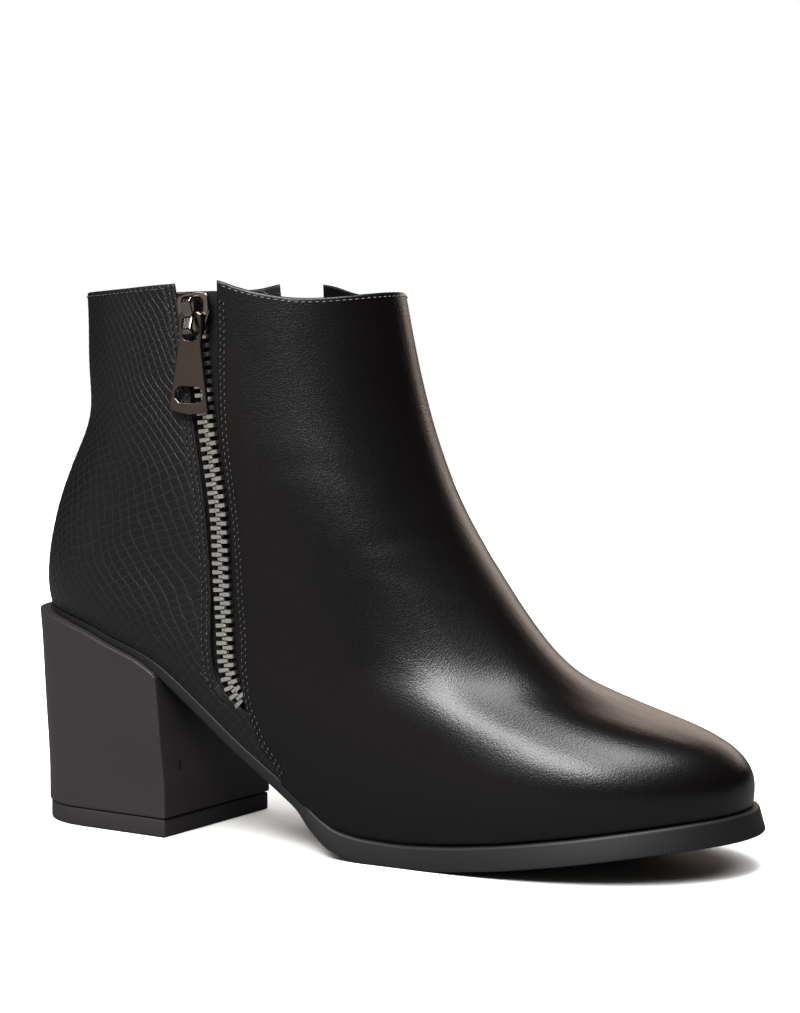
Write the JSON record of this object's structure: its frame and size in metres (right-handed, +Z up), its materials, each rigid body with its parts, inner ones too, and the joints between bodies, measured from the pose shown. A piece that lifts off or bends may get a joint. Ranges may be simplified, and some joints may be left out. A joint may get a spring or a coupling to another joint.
{
  "type": "heeled zip ankle boot",
  "caption": "Ankle boot with a smooth vamp, embossed rear quarter, outer side zip, inner side elastic gore, leather look sole and stacked block heel.",
  "frame": {"origin": "centre of the heel tip's rest face on the floor", "axes": "+X to the toe, +Y to the inner side of the foot, +Z up"},
  "size_m": [0.2466, 0.0863, 0.1742],
  "materials": {
    "upper": "smooth black semi gloss leather in front, black reptile embossed leather behind the zip",
    "outsole": "black satin edge with fine serration",
    "heel_block": "charcoal with fine stacked lines",
    "heel_tip": "matt dark grey",
    "insole": "matt dark lining",
    "zip_tape": "black woven tape",
    "zip_metal": "bright nickel teeth",
    "slider_metal": "polished gunmetal",
    "pull_metal": "polished gunmetal with bright bevels",
    "elastic": "black ribbed elastic"
  },
  "bodies": {
    "boot": {"upper": "upper", "outsole": "outsole", "heel_block": "heel_block", "heel_tip": "heel_tip", "insole": "insole", "zip_tape": "zip_tape", "zip_chain": "zip_metal", "zip_slider": "slider_metal", "elastic_gore": "elastic"},
    "pull": {"zip_pull": "pull_metal"}
  },
  "joints": [
    {"name": "pull_hinge", "type": "hinge", "parent": "boot", "child": "pull", "pos_m": [0.04235, -0.03821, 0.16383], "axis": [-0.9994, -0.0196, 0.03], "range_deg": [0, 150]}
  ]
}
